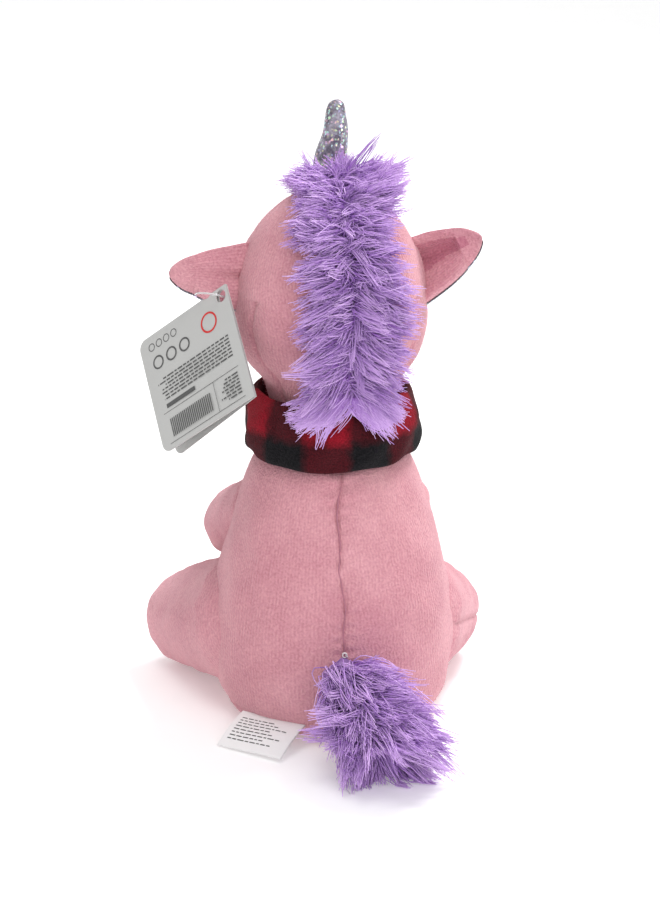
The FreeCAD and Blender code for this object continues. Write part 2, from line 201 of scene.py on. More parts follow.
def fuzz(name, obj, per_mm2, length, material, seed, lean=0.5, width=0.09, keep=None):
    """Short pile: thin blades scattered over a surface."""
    rng = np.random.default_rng(seed)
    mesh = obj.data
    mesh.calc_loop_triangles()
    co = np.zeros(len(mesh.vertices) * 3)
    mesh.vertices.foreach_get("co", co)
    co = co.reshape(-1, 3) / MM
    tri = np.zeros(len(mesh.loop_triangles) * 3, int)
    mesh.loop_triangles.foreach_get("vertices", tri)
    a, b, c = (co[tri.reshape(-1, 3)[:, n]] for n in range(3))
    cross = np.cross(b - a, c - a)
    area = np.linalg.norm(cross, axis=1) / 2
    if keep is not None:
        area = np.where(keep((a + b + c) / 3), area, 0)
    count = int(area.sum() * per_mm2)
    pick = rng.choice(len(area), count, p=area / area.sum())
    s, t = rng.random((2, count, 1))
    flip = (s + t) > 1
    s, t = np.where(flip, 1 - s, s), np.where(flip, 1 - t, t)
    root = a[pick] + s * (b - a)[pick] + t * (c - a)[pick]
    normal = unit(cross[pick])
    direction = unit(normal + lean * rng.normal(size=(count, 3)) + vec(0, 0, -0.25))
    side = unit(np.cross(direction, rng.normal(size=(count, 3)))) * width / 2
    tip = root + direction * length * rng.uniform(0.5, 1.2, (count, 1))
    points = np.stack([root - side, root + side, tip], 1).reshape(-1, 3)
    faces = np.arange(count * 3).reshape(-1, 3).tolist()
    return build(name, points, faces, material)


# Materials

def shader(name, **constants):
    """New material, with a function that adds nodes and one that feeds the main shader."""
    material = bpy.data.materials.new(name)
    material.use_nodes = True
    tree = material.node_tree
    bsdf = tree.nodes["Principled BSDF"]

    def feed(node, key, value):
        if isinstance(value, bpy.types.NodeSocket):
            tree.links.new(value, node.inputs[key])
        else:
            node.inputs[key].default_value = value

    def add(kind, inputs=(), **attributes):
        node = tree.nodes.new("ShaderNode" + kind)
        for key, value in attributes.items():
            setattr(node, key, value)
        for key, value in dict(inputs).items():
            feed(node, key, value)
        return node

    def put(key, value):
        feed(bsdf, key, value)

    for key, value in constants.items():
        put(key.replace("_", " "), value)
    return material, add, put


def rgba(colour):
    return (*colour, 1.0)


def mixed(add, factor, a, b):
    a, b = (rgba(c) if isinstance(c, tuple) else c for c in (a, b))
    return add("Mix", {0: factor, 6: a, 7: b}, data_type="RGBA").outputs[2]


def maths(add, operation, *values, **more):
    return add("Math", dict(enumerate(values)), operation=operation, **more).outputs[0]


def scaled(add, value, low, high):
    node = add("MapRange", {"Value": value, "From Min": low, "From Max": high})
    return node.outputs["Result"]


def noise_of(add, coordinates, scale, detail=3):
    return add("TexNoise", {"Vector": coordinates, "Scale": scale, "Detail": detail}).outputs["Fac"]


def plush_material(name, light, dark, pitch=1.35):
    """Short velour with faint knitted ribs, darker between the ribs as painted shade, with random paler and
    darker blotches.
    """
    material, add, put = shader(name, Roughness=0.92, Specular_IOR_Level=0.15, Sheen_Weight=0.35,
                                Sheen_Roughness=0.45, Sheen_Tint=rgba((1.0, 0.86, 0.88)))
    place = add("TexCoord").outputs["Object"]
    cloth = add("SeparateXYZ", {0: add("UVMap", uv_map="Cloth").outputs["UV"]})
    wave = maths(add, "MULTIPLY", cloth.outputs["X"], 2 * math.pi / (pitch * MM))
    rib = scaled(add, maths(add, "SINE", wave), -1, 1)
    broad = scaled(add, noise_of(add, place, 38, 4), 0.3, 0.7)
    fine = scaled(add, noise_of(add, place, 1050, 2), 0.33, 0.67)
    tone = maths(add, "MULTIPLY", broad, 0.50)
    tone = maths(add, "MULTIPLY_ADD", fine, 0.42, tone)
    # painted shade: the rib term darkens the colour between the ribs
    tone = maths(add, "MULTIPLY_ADD", rib, 0.16, tone, use_clamp=True)
    put("Base Color", mixed(add, tone, dark, light))
    height = maths(add, "MULTIPLY_ADD", rib, 0.35, fine)
    put("Normal", add("Bump", {"Strength": 0.55, "Distance": 0.0006, "Height": height}).outputs["Normal"])
    return material


def pile_material(name, root, tip):
    """Glossy synthetic fibre, darker towards the root as painted shade, each lock in its own tone."""
    material, add, put = shader(name, Roughness=0.42, Specular_IOR_Level=0.35, Sheen_Weight=0.2)
    along = add("Attribute", attribute_name="along").outputs["Fac"]
    tone = add("Attribute", attribute_name="tone").outputs["Fac"]
    # painted shade: colour darkens from tip to root along each fibre
    root_shade_and_tone = maths(add, "MULTIPLY_ADD", along, 0.75, tone, use_clamp=True)
    put("Base Color", mixed(add, root_shade_and_tone, root, tip))
    return material


def glitter_material(name):
    """Silver lavender cloth with sparkles of many colours in rows; the sparkles' bright many-coloured tints
    are painted glints, on flecks that are also smoother and tilted.
    """
    material, add, put = shader(name, Metallic=0.55)
    place = add("TexCoord").outputs["Object"]
    cells = add("TexVoronoi", {"Vector": place, "Scale": 1250, "Randomness": 0.7})
    split = add("SeparateColor", {0: cells.outputs["Color"]})
    spark = scaled(add, split.outputs["Red"], 0.72, 0.9)
    glint_tint = add("CombineColor", {0: split.outputs["Green"], 1: 0.35, 2: 0.9}, mode="HSV").outputs[0]
    ground = scaled(add, noise_of(add, place, 300, 2), 0.35, 0.65)
    base = mixed(add, ground, (0.15, 0.135, 0.175), (0.36, 0.33, 0.40))
    # painted glint: sparkle cells take bright many-coloured tints in the colour
    put("Base Color", mixed(add, spark, base, glint_tint))
    rough = add("MapRange", {"Value": spark, "To Min": 0.55, "To Max": 0.18}).outputs["Result"]
    put("Roughness", rough)
    tilt = add("VectorMath", {0: cells.outputs["Color"], 1: (0.5, 0.5, 0.5)}, operation="SUBTRACT").outputs[0]
    tilt = add("VectorMath", {0: tilt, "Scale": 0.9}, operation="SCALE").outputs[0]
    normal = add("NewGeometry").outputs["Normal"]
    tilted = add("VectorMath", {0: normal, 1: tilt}, operation="ADD").outputs[0]
    put("Normal", add("VectorMath", {0: tilted}, operation="NORMALIZE").outputs[0])
    return material


def plaid_material(name):
    """Brushed fleece in a large check of red, black and the dark red between them."""
    material, add, put = shader(name, Roughness=0.95, Specular_IOR_Level=0.08, Sheen_Weight=0.04)
    cloth = add("UVMap", uv_map="Cloth").outputs["UV"]
    place = add("TexCoord").outputs["Object"]
    wobble = add("VectorMath", {0: add("TexNoise", {"Vector": place, "Scale": 300}).outputs["Color"],
                                1: (0.5, 0.5, 0.5)}, operation="SUBTRACT").outputs[0]
    wobble = add("VectorMath", {0: wobble, "Scale": 0.004}, operation="SCALE").outputs[0]
    moved = add("VectorMath", {0: cloth, 1: wobble}, operation="ADD").outputs[0]
    axes = add("SeparateXYZ", {0: moved})
    bands = []
    for axis, shift in (("X", 2.35), ("Y", -0.74)):
        wave = maths(add, "MULTIPLY_ADD", axes.outputs[axis], 2 * math.pi / 0.034, shift)
        bands.append(scaled(add, maths(add, "SINE", wave), -0.34, 0.34))
    both = maths(add, "MULTIPLY", *bands)
    either = maths(add, "MAXIMUM", *bands)
    nap = scaled(add, noise_of(add, place, 1500, 2), 0.3, 0.7)
    red = mixed(add, nap, (0.20, 0.006, 0.014), (0.34, 0.012, 0.026))
    dark = mixed(add, nap, (0.040, 0.005, 0.008), (0.085, 0.009, 0.014))
    black = mixed(add, nap, (0.004, 0.004, 0.005), (0.016, 0.015, 0.017))
    put("Base Color", mixed(add, both, mixed(add, either, red, dark), black))
    put("Normal", add("Bump", {"Strength": 0.6, "Distance": 0.0006, "Height": nap}).outputs["Normal"])
    return material


def card_material(name, colour):
    material, add, put = shader(name, Roughness=0.38, Specular_IOR_Level=0.5)
    place = add("TexCoord").outputs["Object"]
    soft = scaled(add, noise_of(add, place, 60, 2), 0.2, 0.8)
    put("Base Color", mixed(add, soft, tuple(c * 0.97 for c in colour), colour))
    return material


def satin_material(name):
    material, add, put = shader(name, Roughness=0.35, Specular_IOR_Level=0.5, Sheen_Weight=0.2)
    cloth = add("SeparateXYZ", {0: add("UVMap", uv_map="Cloth").outputs["UV"]})
    thread = maths(add, "MULTIPLY", cloth.outputs["X"], 2 * math.pi / 0.0004)
    weave = scaled(add, maths(add, "SINE", thread), -1, 1)
    put("Base Color", mixed(add, weave, (0.88, 0.87, 0.87), (0.95, 0.94, 0.94)))
    return material


def plain_material(name, colour, **constants):
    return shader(name, Base_Color=rgba(colour), **constants)[0]


M = {
    "plush": plush_material("pink_plush", PINK, PINK_DARK),
    # darker pink plush, painted as the shade inside the right ear's hollow
    "hollow_shade": plush_material("pink_plush_painted_shade", (0.66, 0.27, 0.33), (0.42, 0.13, 0.19)),
    "muzzle": plush_material("pale_pink_plush", (0.80, 0.52, 0.55), (0.66, 0.38, 0.42)),
    "fuzz": plain_material("pink_fuzz", (0.76, 0.40, 0.45), Roughness=0.85, Specular_IOR_Level=0.15),
    "pile": pile_material("purple_pile", PURPLE_ROOT_SHADE, PURPLE_TIP),
    "glitter": glitter_material("glitter_fabric"),
    "plaid": plaid_material("plaid_fleece"),
    "card": card_material("card", (0.52, 0.52, 0.51)),
    "satin": satin_material("satin_tape"),
    "thread": plain_material("thread", (0.45, 0.19, 0.25), Roughness=0.7),
    "pale_thread": plain_material("pale_thread", (0.85, 0.80, 0.80), Roughness=0.6),
    "dark_thread": plain_material("dark_thread", (0.10, 0.04, 0.06), Roughness=0.5),
    "eye": plain_material("eye_plastic", (0.008, 0.008, 0.01), Roughness=0.06, Coat_Weight=0.6),
    "nylon": plain_material("nylon", (0.85, 0.85, 0.85), Roughness=0.15, Transmission_Weight=0.5),
    "grey_ink": plain_material("grey_ink", (0.09, 0.09, 0.09), Roughness=0.5),
    "red_ink": plain_material("red_ink", (0.62, 0.03, 0.03), Roughness=0.5),
    "scarf_fuzz": plain_material("scarf_fuzz", (0.045, 0.005, 0.008), Roughness=0.95,
                                 Specular_IOR_Level=0.05),
}


# Torso

def seam_dent(points, across, width=1.2, depth=1.1, puff=5.0):
    """Inward offset near a seam that lies where across is 0: a tight groove in a softer hollow."""
    return depth * ridge(across, width) + 0.7 * ridge(across, puff)


def seam_wander(z):
    """Sideways place of the back seam at a height."""
    return 0.9 * np.sin(z / 11) + 0.5 * np.sin(z / 3.7 + 1)


def torso_points(rows=250, cols=340):
    profile = curve(TORSO_PROFILE, rows)
    theta = turn(cols)
    r, z = profile[:, :1], profile[:, 1:]
    points = np.stack([r * np.cos(theta), r * np.sin(theta), z + 0 * theta], -1)
    slope = np.gradient(profile, axis=0)
    outward = unit(np.stack([slope[:, 1], -slope[:, 0]], -1))
    normal = np.stack([outward[:, :1] * np.cos(theta), outward[:, :1] * np.sin(theta),
                       outward[:, 1:] + 0 * theta], -1)
    x, y, z = np.moveaxis(points, -1, 0)
    wander = seam_wander(z)
    back = np.where(y > 0, x - wander, 99)
    belly = np.where(y < 0, x, 99)
    offset = 1.3 + 0.5 * lumps(points, 60, 1) + 0.25 * lumps(points, 22, 2)
    tucks = np.sin(z / 0.95 + 2.2 * np.sin(z / 7.3) + np.sign(back) * 0.6)
    live = np.clip((z - 8) / 8, 0, 1)
    offset -= seam_dent(points, back, 1.0, 1.3, 4.5) * live
    offset += 0.6 * tucks * ridge(back, 5.0) * (1 - ridge(back, 0.8)) * live
    offset -= seam_dent(points, belly, 0.9, 0.6, 3)
    offset -= seam_dent(points, z - 7 - 0.4 * np.sin(theta * 9), 1.0, 0.8, 3.0)
    offset = np.maximum(offset, -0.5) * np.clip(z / 6, 0, 1)
    return points + normal * offset[..., None]


def torso():
    points = torso_points()
    skin = grid("torso_skin", points, M["plush"], uv=round_uv(points))
    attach(skin, "torso")
    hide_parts("seat_panel", "belly_panel", "back_panel_left", "back_panel_right")
    nap = fuzz("torso_nap", skin, NAP_PER_MM2, 1.0, M["fuzz"], 11, keep=lambda p: p[:, 2] > 2)
    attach(nap, "torso")
    back_stitches(points)


def back_stitches(points):
    """Hand stitches that cross the back seam, and the knot where the thread ends."""
    low, high = SEAM_SPAN
    rows = [i for i in range(len(points)) if low < points[i, :, 2].mean() < high]
    column = points.shape[1] // 4
    rng = np.random.default_rng(5)
    line = [(float(seam_wander(z)), y, z) for _, y, z in points[rows[::3], column]]
    path = curve([(x + rng.normal(0, 0.12), y + 0.15 + 0.35 * math.sin(n * 1.9), z)
                  for n, (x, y, z) in enumerate(line)], len(line) * 4)
    thread = tube("back_seam_stitches", path, 0.28, M["thread"], 6)
    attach(thread, "torso")
    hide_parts("back_seam_thread")
    x, y, z = line[0]
    t = np.linspace(0, 1, 40)
    knot = np.stack([x + 0.9 * np.cos(t * 14), y + 1.0 + 0.5 * np.sin(t * 9), z + 0.9 * np.sin(t * 14)], -1)
    tail = np.stack([x - 0.2 - 2.5 * t[::4], y + 1.0 + 0 * t[::4], z - 5 * t[::4] ** 2], -1)
    for name, line_points in (("seam_knot", knot), ("seam_thread_end", tail)):
        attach(tube(name, line_points, 0.22, M["pale_thread"], 6), "torso")


# Legs

def leg_points(name, rows=120, cols=110):
    pivot, paw, r_pivot, r_paw, sole = LEGS[name]
    pivot, paw = vec(*pivot), vec(*paw)
    length = np.linalg.norm(paw - pivot)
    edge = math.asin(sole / r_paw)
    outline = [(r_pivot * math.cos(a), r_pivot * math.sin(a)) for a in np.linspace(-1.5, 0, 12)]
    outline += [(r_pivot + (r_paw - r_pivot) * t + 0.3, length * t) for t in (0.3, 0.6, 0.85)]
    outline += [(r_paw * math.cos(a), length + r_paw * math.sin(a)) for a in np.linspace(0.1, edge, 8)]
    profile = curve(outline, rows)
    axis = unit(paw - pivot)
    side = unit(np.cross(axis, vec(0, 0, 1)))
    up = np.cross(side, axis)
    phi = turn(cols)
    ring = circle(side, up, phi)
    centre = pivot + profile[:, 1:2] * axis
    seed = sum(map(ord, name))
    raw = centre[:, None] + profile[:, :1, None] * ring
    seam = profile[:, :1] * np.sin(phi / 2) * 2
    end = length + sole - profile[:, 1:2]
    offset = 0.6 + 0.45 * lumps(raw, 26, seed) + 0.2 * lumps(raw, 9, seed + 1)
    offset -= 0.8 * ridge(seam, 0.9) + 0.5 * ridge(seam, 3.5)
    offset -= 0.9 * ridge(end, 0.8) - 0.3 * ridge(end - 3.5, 2.5)
    points = raw + ring * offset[..., None]
    points[..., 2] = np.maximum(points[..., 2], 0.3)
    return points, pivot, axis, up, side


def leg(name):
    points, pivot, axis, up, side = leg_points(name)
    _, paw, r_pivot, r_paw, sole = LEGS[name]
    cover = grid(name + "_skin", points, M["plush"], uv=round_uv(points)[..., ::-1].copy())
    nap = fuzz(name + "_nap", cover, NAP_PER_MM2, 1.0, M["fuzz"], sum(map(ord, name)),
               keep=lambda p: p[:, 2] > 1.5)
    for piece in (cover, nap):
        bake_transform(piece)
    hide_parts(name + "_cover")
    disc_radius = math.sqrt(r_paw ** 2 - sole ** 2) - 0.6
    centre = vec(*paw) + axis * (sole + 0.1)
    rings = np.linspace(1, 0.03, 14)[:, None, None]
    phi = turn(60)
    ring = circle(side, up, phi)
    dome = centre + ring * disc_radius * rings + axis * (1.6 * (1 - rings ** 2) - 0.8)
    disc = grid(name + "_sole_pad", dome, M["glitter"])
    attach(disc, name)
    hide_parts(name + "_sole")


# Head

def exit_distance(origin, direction, centre, radii):
    """Distance from origin along direction to the far side of a spheroid, 0 where it is missed."""
    scale = 1 / np.array([radii[0], radii[0], radii[1]])
    o = (np.asarray(origin) - np.asarray(centre)) * scale
    d = direction * scale
    a, b, c = (d * d).sum(-1), (d * o).sum(-1), (o * o).sum() - 1
    inside = b * b - a * c
    return np.where(inside > 0, (-b + np.sqrt(np.maximum(inside, 0))) / a, 0).clip(0)


def head_radius(direction):
    """Skull, muzzle and neck run into each other."""
    parts = [exit_distance(HEAD_HEART, direction, HEAD, SKULL),
             exit_distance(HEAD_HEART, direction, MUZZLE[0], (MUZZLE[1],) * 2),
             exit_distance(HEAD_HEART, direction, NECK[0], (NECK[1],) * 2)]
    return sum(p ** 16 for p in parts) ** (1 / 16)


def head_points(rows=230, cols=320):
    direction = ball(rows, cols, 0.02)
    raw = vec(*HEAD_HEART) + direction * head_radius(direction)[..., None]
    x, y, z = np.moveaxis(raw, -1, 0)
    offset = 1.1 + 0.5 * lumps(raw, 42, 21) + 0.2 * lumps(raw, 15, 22)
    cheek = np.abs(x) - 30
    offset += 1.6 * ridge(cheek - 4, 9) * ridge(y + 6, 16) * ridge(z - 154, 13)
    side_seam = np.where((np.abs(x) > 18) & (z < 176), y - 13 - 0.02 * (z - 150) ** 2 * 0.3, 99)
    offset -= 1.0 * ridge(side_seam, 0.9) + 0.7 * ridge(side_seam, 4)
    muzzle_seam = np.linalg.norm(raw - vec(*MUZZLE[0]), axis=-1) - MUZZLE[1] - 1.2
    offset -= 0.8 * ridge(muzzle_seam, 0.9)
    return raw + direction * offset[..., None]


def head():
    points = head_points()
    skin = grid("head_skin", points, M["plush"], uv=round_uv(points))
    co = points.reshape(-1, 3)
    skin.data.materials.append(M["muzzle"])
    middle = np.array([co[list(p.vertices)].mean(0) for p in skin.data.polygons])
    on_muzzle = np.linalg.norm(middle - vec(*MUZZLE[0]), axis=1) < MUZZLE[1] + 3.0
    skin.data.polygons.foreach_set("material_index", on_muzzle.astype(np.int32))
    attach(skin, "head")
    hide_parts("head_panel_left", "head_panel_right", "muzzle_cover")
    nap = fuzz("head_nap", skin, NAP_PER_MM2, 1.0, M["fuzz"], 12, keep=lambda p: p[:, 2] > 132)
    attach(nap, "head")
    face()


def on_head(x, z):
    """Point and outward direction on the front of the head at a given sideways place and height."""
    direction = vec(x, -40, z - HEAD_HEART[2])
    for _ in range(12):
        direction = unit(direction)
        point = vec(*HEAD_HEART) + direction * head_radius(direction[None])[0]
        direction = direction + vec(x - point[0], 0, z - point[2]) * 0.02
    return point, unit(direction)


def face():
    for sign, name in ((1, "left"), (-1, "right")):
        seat, out = on_head(17 * sign, 180)
        eye = dome("eye_dome_" + name, seat - out * 0.2, out, 5.4, 4.6, M["eye"], "eye_plastic")
        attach(eye, "head")
        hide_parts("eye_" + name)
        seat, out = on_head(6.5 * sign, 164)
        nostril = dome("nostril_patch_" + name, seat + out * 0.7, out, 1.8, 1.3, M["dark_thread"],
                       "dark_thread")
        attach(nostril, "head")
        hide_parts("nostril_" + name)
    line = [on_head(x, 155.5 - 2.2 * (1 - (x / 9) ** 2))[0] + vec(0, -1.5, 0)
            for x in np.linspace(-9, 9, 30)]
    mouth = tube("mouth_line", line, 0.45, M["dark_thread"], 6)
    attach(mouth, "head")
    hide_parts("mouth_stitch")


def dome(name, centre, out, radius, height, material, slot):
    side = unit(np.cross(out, vec(0.1, 0.2, 1)))
    up = np.cross(out, side)
    a = np.linspace(-0.5, math.pi / 2 - 0.03, 16)[:, None, None]
    phi = turn(40)
    ring = circle(side, up, phi)
    return grid(name, centre + ring * radius * np.cos(a) + out * height * np.sin(a), material)


# Horn and ears

def horn():
    base, tip = vec(*HORN[0]), vec(*HORN[1])
    axis = unit(tip - base)
    height = np.linalg.norm(tip - base)
    profile = curve([(9.5, -2), (9.4, 3), (8.2, 12), (6.3, 24), (4.5, 34), (3.3, height - 3),
                     (2.1, height - 0.9), (0.3, height)], 70)
    side = unit(np.cross(axis, vec(0, 1, 0)))
    up = np.cross(axis, side)
    phi = turn(72)
    ring = circle(side, up, phi)
    points = base + axis * profile[:, 1:2, None] + ring * profile[:, :1, None]
    seam = 2 * profile[:, :1] * np.sin((phi - 2.2) / 2)
    offset = 0.35 * lumps(points, 14, 31) - 0.5 * ridge(seam, 0.8)
    points = points + ring * offset[..., None]
    cover = grid("horn_skin", points, M["glitter"])
    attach(cover, "horn")
    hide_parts("horn_cover")


# Ears: half width from the root to the tip, and how far a cut across the ear bows back at each place
EARS = {
    1: dict(name="left", tip=(64.0, 2, 184.5), half=[13.6, 12.6, 11.2, 9.8, 8.2, 6.6, 4.4],
            bow=[(-0.85, 0.55, 5.0), (0.9, 0.5, -2.0)], pinch=(-0.05, 3.6)),
    -1: dict(name="right", tip=(-58.5, 3, 197.0), half=[14.0, 13.0, 12.0, 10.6, 9.0, 7.0, 4.0],
             bow=[(-0.74, 0.32, 6.4), (0.2, 0.44, -7.0), (1.0, 0.25, 1.0)], pinch=(0.2, 1.5)),
}


def paint_hollow_shade(back, rows, cols, v):
    """Deeper pink inside the hollow on the back of the ear: painted shade of the hollow."""
    back.data.materials.append(M["hollow_shade"])
    index = np.zeros(len(back.data.polygons), np.int32)
    row, col = np.divmod(np.arange((rows - 1) * cols), cols)
    inside = (np.abs(v[col] - 0.22) < 0.5 - 0.3 * row / rows) & (row < rows * 0.8) & (col > cols / 2)
    index[:len(inside)] = inside
    back.data.polygons.foreach_set("material_index", index)


def ear(sign):
    """Stuffed leaf: rows run from the root to the tip, columns round the leaf."""
    shape = EARS[sign]
    low, high = vec(36.8 * sign, -1.0, 167.5), vec(30.8 * sign, -1.0, 196.5)
    middle = (low + high) / 2 - vec(2.0 * sign, 0, 0)
    tip = vec(*shape["tip"])
    rows, cols = 80, 110
    u = np.linspace(0, 1, rows)[:, None]
    half = curve([(h,) for h in shape["half"]], rows) * np.sqrt(np.clip(1 - u ** 9, 0.003, 1))
    line = middle + u * (tip - middle)
    root_up = unit(high - low)
    tip_up = unit(np.cross(unit(tip - middle), vec(0, sign, 0)))
    up = unit(root_up * (1 - u) + tip_up * u)
    psi = turn(cols)
    v, w = np.cos(psi), np.sin(psi)
    live = np.sin(np.clip(u * 1.1 + 0.25, 0, 1) * math.pi) ** 0.5
    bow = sum(height * ridge(v - place, width) for place, width, height in shape["bow"]) * live
    place, depth = shape["pinch"]
    bow = bow - depth * ridge(v - place, 0.2) * np.exp(-u * 3.0)
    thick = 2.4 * (1 - 0.35 * u) * (0.45 + 0.55 * np.sqrt(np.abs(1 - v ** 2)))
    points = line[:, None] + up[:, None] * (half * v)[..., None] + vec(0, 1, 0) * (thick * w + bow)[..., None]
    points = points + (0.3 * lumps(points, 12, 41 + sign))[..., None] * vec(0, 1, 0)
    columns = slice(None) if sign > 0 else slice(None, None, -1)
    body = "ear_" + shape["name"]
    shell = points[:, columns]
    back = grid(body + "_skin", shell, M["plush"], uv=round_uv(shell))
    # painted shade: the right ear's hollow gets the darker pink
    if sign < 0:
        paint_hollow_shade(back, rows, cols, v[::-1])
    front = np.arange(cols // 2 - 7, cols - 5)
    layer = points[4:-1, front] - vec(0, 0.5, 0) - up[4:-1, None] * 0.9 * (v[front] < -0.55)[:, None]
    lining = grid(body + "_front", layer[:, ::sign], M["glitter"], wrap=False, caps=False)
    nap = fuzz(body + "_nap", back, NAP_PER_MM2, 0.9, M["fuzz"], 50 + sign,
               keep=lambda p: p[:, 1] > -1)
    for piece in (back, lining, nap):
        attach(piece, body)
    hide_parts(body + "_back")
    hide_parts(body + "_lining")


# Long pile

def strands(name, paths, radius, tone, body):
    """Tapered three-sided fibres along given paths."""
    count, steps = paths.shape[:2]
    tangent = unit(np.gradient(paths, axis=1) + 1e-6)
    rng = np.random.default_rng(len(name) + count)
    side = unit(np.cross(tangent, unit(rng.normal(size=(count, 1, 3)))))
    other = np.cross(tangent, side)
    t = np.linspace(0, 1, steps)
    taper = radius * (1 - 0.45 * t ** 3)
    corners = [(math.cos(a), math.sin(a)) for a in (0, 2.094, 4.189)]
    rings = np.stack([paths + (c * side + s * other) * taper[None, :, None] for c, s in corners], 2)
    base = np.arange(count)[:, None, None] * steps * 3
    i = np.arange(steps - 1)[None, :, None] * 3
    j = np.arange(3)[None, None, :]
    k = (j + 1) % 3
    faces = np.stack([base + i + j, base + i + k, base + i + 3 + k, base + i + 3 + j], -1).reshape(-1, 4)
    obj = build(name, rings.reshape(-1, 3), faces.tolist(), M["pile"])
    for key, values in (("along", np.broadcast_to(t[None, :, None], (count, steps, 3))),
                        ("tone", np.broadcast_to(tone[:, None, None], (count, steps, 3)))):
        attribute = obj.data.attributes.new(key, "FLOAT", "POINT")
        attribute.data.foreach_set("value", values.astype(np.float32).ravel())
    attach(obj, body)
    return obj


def lock_paths(rng, root, lift, aim, length, per_lock, spread, gather, steps=7):
    """Fibres of many locks: each lock starts spread out and gathers to a point."""
    locks = len(root)
    length = length[:, None] * rng.uniform(0.78, 1.08, (locks, per_lock))
    start = root[:, None] + rng.normal(0, spread, (locks, per_lock, 3))
    t = np.linspace(0, 1, steps)[None, None, :, None]
    bow = rng.normal(0, 0.10, (locks, 1, 3)) + rng.normal(0, 0.07, (locks, per_lock, 3))
    shape = lift[:, None, None] * (t - 0.5 * t ** 2) + aim[:, None, None] * (0.15 * t + 0.85 * t ** 2)
    wave = bow[:, :, None] * np.sin(t * 3.1) + rng.normal(0, 0.028, (locks, per_lock, 1, 3)) * np.sin(t * 7)
    paths = start[:, :, None] + (shape + wave) * length[:, :, None, None]
    heart = root[:, None, None] + shape * length.mean(1)[:, None, None, None]
    pull = gather * t ** 0.8
    paths = paths * (1 - pull) + (heart + (paths - paths.mean(1, keepdims=True)) * 0.25) * pull
    return paths.reshape(-1, steps, 3)


def crest_frame(phi, x):
    """Point on the skull at an angle from the crown to the nape, with its outward and down directions."""
    ry, rz = SKULL
    k = np.sqrt(1 - (x / ry) ** 2)
    point = np.stack([x, HEAD[1] + ry * k * np.sin(phi), HEAD[2] + rz * k * np.cos(phi)], -1)
    out = unit(np.stack([x / ry ** 2, k * np.sin(phi) / ry, k * np.cos(phi) / rz], -1))
    down = unit(np.stack([0 * x, ry * np.cos(phi), -rz * np.sin(phi)], -1))
    return point, out, down


def over_scarf(paths):
    """Lift the fibres that reach the scarf on to its outside."""
    reach = np.hypot(paths[..., 0], paths[..., 1])
    need = np.interp(paths[..., 2], [110, 132, 141, 146], [37.4, 36.4, 33.0, 0])
    grow = np.maximum(need / np.maximum(reach, 1), 1)
    paths[..., :2] *= grow[..., None]
    return paths


def parting(phi):
    return -4.0 + 1.5 * np.sin(phi * 3.1)


def mane():
    rng = np.random.default_rng(3)
    total = 880
    phi = np.radians(rng.uniform(-14, 140, total))
    part = parting(phi)
    x = part + rng.uniform(-7, 7, total)
    point, out, down = crest_frame(phi, x)
    side = np.stack([np.where(x > part, 0.95, -0.92), 0 * x, 0 * x], -1)
    away = np.clip(np.abs(x - part) / 6, 0, 1)[:, None]
    sag = np.interp(np.degrees(phi), [-14, 10, 60, 110, 140], [-0.1, 0.08, 0.24, 0.32, 0.62])[:, None]
    jitter = rng.normal(0, 0.11, (total, 3))
    lift = out * (0.95 - 0.25 * away) + jitter
    aim = side * (0.62 + 0.25 * away) + down * sag - out * 0.05 + jitter * 1.5
    length = np.interp(np.degrees(phi), [-14, 0, 60, 118, 140], [12.5, 15, 15.5, 16, 17])
    length = length * rng.uniform(0.8, 1.12, total)
    low = np.degrees(phi) > 122
    aim[low] = aim[low] * vec(0.9, 1, 1) + vec(0, 0.35, -0.1)
    paths = over_scarf(lock_paths(rng, point, lift, aim, length, PER_LOCK, 1.2, 0.36, 7))
    tone = np.repeat(rng.normal(0.0, 0.13, total), PER_LOCK) + rng.normal(0, 0.10, total * PER_LOCK)
    x_root = np.repeat(x - part, PER_LOCK)
    lower = np.repeat(np.degrees(phi) > MANE_SPLIT, PER_LOCK)
    pieces = (
        ("mane_left", (x_root > 0) & ~lower),
        ("mane_left_lower", (x_root > 0) & lower),
        ("mane_right", (x_root <= 0) & ~lower),
        ("mane_right_lower", (x_root <= 0) & lower),
    )
    for name, mask in pieces:
        locks = strands(name, paths[mask], STRAND_RADIUS, tone[mask], "head")
        if name == "mane_left":
            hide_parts("mane_pile")
    forelock(rng)
    parting_tufts(rng)


def forelock(rng):
    """Locks that stand up behind the foot of the horn, and the fan at the right of the crown."""
    total = 40
    phi = np.radians(rng.uniform(-13, 6, total))
    x = -3 + rng.uniform(-9, 9, total)
    point, out, _ = crest_frame(phi, x)
    aim = vec(0, 0.05, 0.62) + rng.normal(0, 0.2, (total, 3)) + np.stack([(x + 3) / 18, 0 * x, 0 * x], -1)
    length = np.where(np.abs(x + 6) < 3, rng.uniform(10, 18, total), rng.uniform(7, 10, total))
    up = lock_paths(rng, point, out * 0.6, aim, length, PER_LOCK, 1.1, 0.4)
    fan = 46
    phi = np.radians(rng.uniform(-8, 26, fan))
    x = rng.uniform(-13, -8, fan)
    point, out, _ = crest_frame(phi, x)
    aim = vec(-0.85, 0.1, 0.42) + rng.normal(0, 0.16, (fan, 3))
    right = lock_paths(rng, point, out * 0.7, aim, rng.uniform(12, 17, fan), PER_LOCK, 1.1, 0.4)
    paths = np.concatenate([up, right])
    tone = np.repeat(rng.normal(0.06, 0.13, total + fan), PER_LOCK)
    strands("mane_forelock", paths, STRAND_RADIUS, tone, "head")


